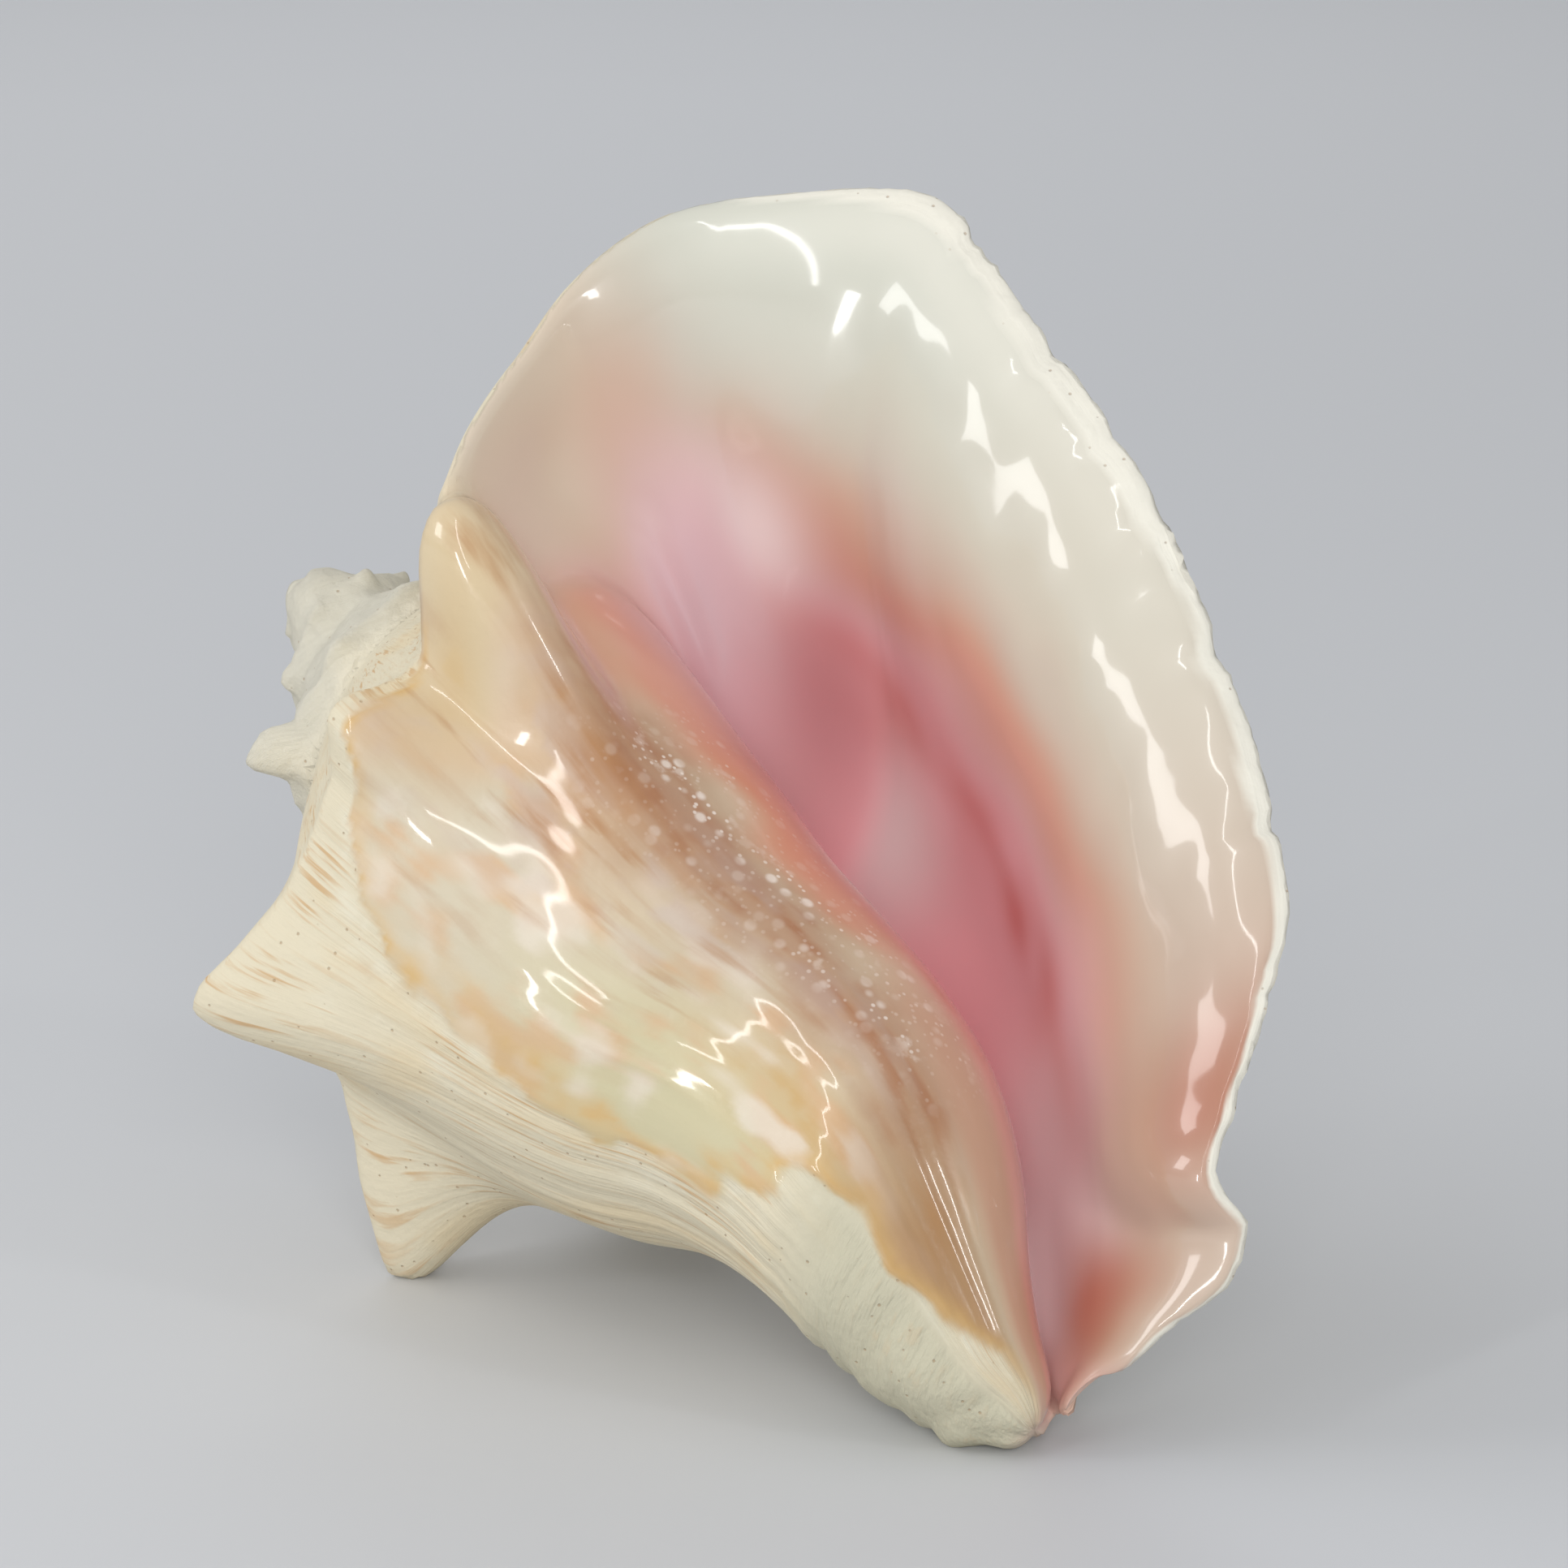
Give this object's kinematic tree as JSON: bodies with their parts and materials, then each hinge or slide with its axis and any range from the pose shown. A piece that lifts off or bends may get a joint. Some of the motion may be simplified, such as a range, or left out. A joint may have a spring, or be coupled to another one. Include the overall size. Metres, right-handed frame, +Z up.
{
  "type": "conch shell",
  "caption": "Spined conch shell with a wide flared lip and a long open aperture, resting on its canal tip and shoulder spines with the opening turned forward.",
  "frame": {"origin": "on the floor, under the middle of the standing shell's box", "axes": "+Z up from the floor, +Y from the open side toward the back, +X toward the raised lip's side"},
  "size_m": [0.1788, 0.1452, 0.1872],
  "materials": {
    "shell": "chalky cream outside, glossy cream callus and lip, glossy pink aperture"
  },
  "bodies": {
    "root": {"shell": "shell"}
  },
  "joints": []
}
